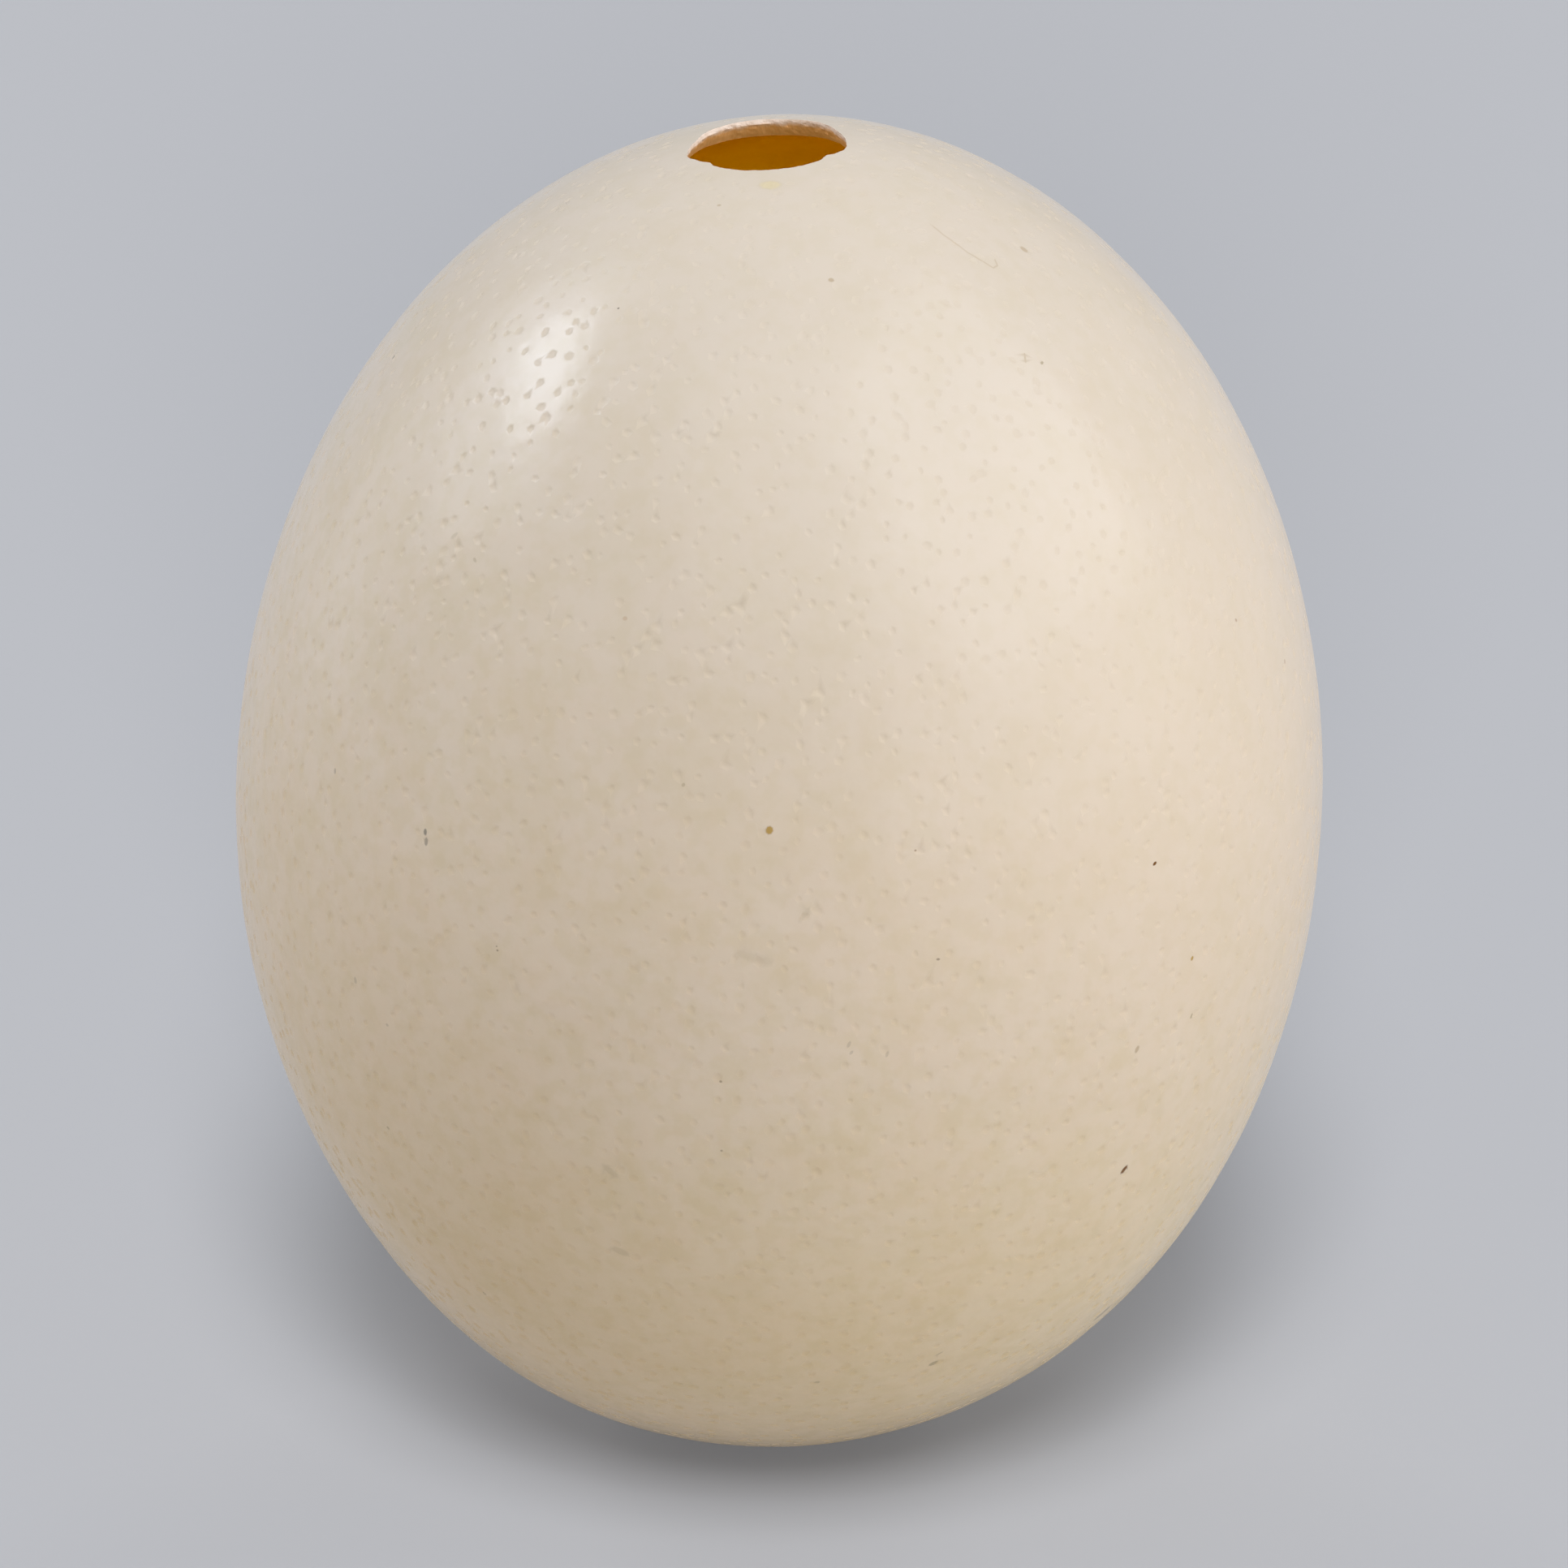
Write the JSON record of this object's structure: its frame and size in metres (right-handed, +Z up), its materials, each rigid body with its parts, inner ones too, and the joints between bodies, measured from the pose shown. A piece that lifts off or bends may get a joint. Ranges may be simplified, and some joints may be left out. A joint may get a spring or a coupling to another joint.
{
  "type": "ostrich egg",
  "caption": "Blown ostrich egg: an empty ivory shell with a ragged hole at its upper end, standing on a small flat spot on its lower end.",
  "frame": {"origin": "on the flat resting spot, straight below the egg's middle", "axes": "+Z up, close to the egg's long axis, which leans 2.65 degrees from upright towards +X"},
  "size_m": [0.125, 0.125, 0.1554],
  "materials": {
    "shell": "warm ivory, satin gloss, with fine pores"
  },
  "bodies": {
    "root": {"eggshell": "shell"}
  },
  "joints": []
}
